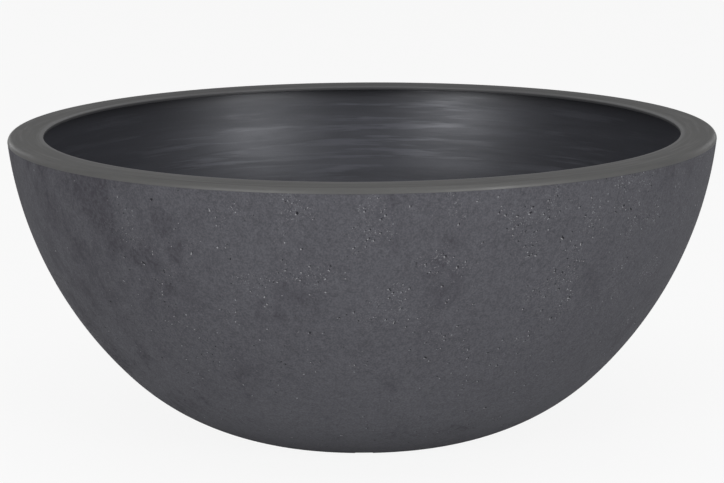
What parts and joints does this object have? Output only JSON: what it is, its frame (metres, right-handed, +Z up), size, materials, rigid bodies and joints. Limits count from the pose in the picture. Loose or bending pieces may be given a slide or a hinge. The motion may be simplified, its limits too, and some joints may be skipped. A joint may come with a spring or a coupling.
{
  "type": "bowl planter",
  "caption": "Round plastic bowl planter with a stone-look outer wall, a smooth flat rim ring, a lift-out drainage grid and push-in drain bungs.",
  "frame": {"origin": "centre of the underside of the foot, on the axis of the bowl", "axes": "+Z up along the axis of the bowl, +X towards drain bung 1 and +Y towards drain bung 2"},
  "size_m": [0.5, 0.5, 0.21],
  "materials": {
    "stone_look_plastic": "matte mottled grey stone look with fine pits outside, smooth satin inside",
    "smooth_rim_plastic": "smooth satin, a lighter warm grey",
    "grid_plastic": "plain moulded satin, near black",
    "bung_rubber": "soft matt black"
  },
  "bodies": {
    "planter": {"bowl_shell": "stone_look_plastic", "rim_ring": "smooth_rim_plastic"},
    "grid": {"drainage_grid": "grid_plastic"},
    "bung_1": {"drain_bung_1": "bung_rubber"},
    "bung_2": {"drain_bung_2": "bung_rubber"},
    "bung_3": {"drain_bung_3": "bung_rubber"},
    "bung_4": {"drain_bung_4": "bung_rubber"}
  },
  "joints": [
    {"name": "grid_lift", "type": "slide", "parent": "planter", "child": "grid", "axis": [0, 0, 1], "range_m": [0, 0.22]},
    {"name": "bung_1_pull", "type": "slide", "parent": "planter", "child": "bung_1", "axis": [0, 0, -1], "range_m": [0, 0.03]},
    {"name": "bung_2_pull", "type": "slide", "parent": "planter", "child": "bung_2", "axis": [0, 0, -1], "range_m": [0, 0.03]},
    {"name": "bung_3_pull", "type": "slide", "parent": "planter", "child": "bung_3", "axis": [0, 0, -1], "range_m": [0, 0.03]},
    {"name": "bung_4_pull", "type": "slide", "parent": "planter", "child": "bung_4", "axis": [0, 0, -1], "range_m": [0, 0.03]}
  ]
}
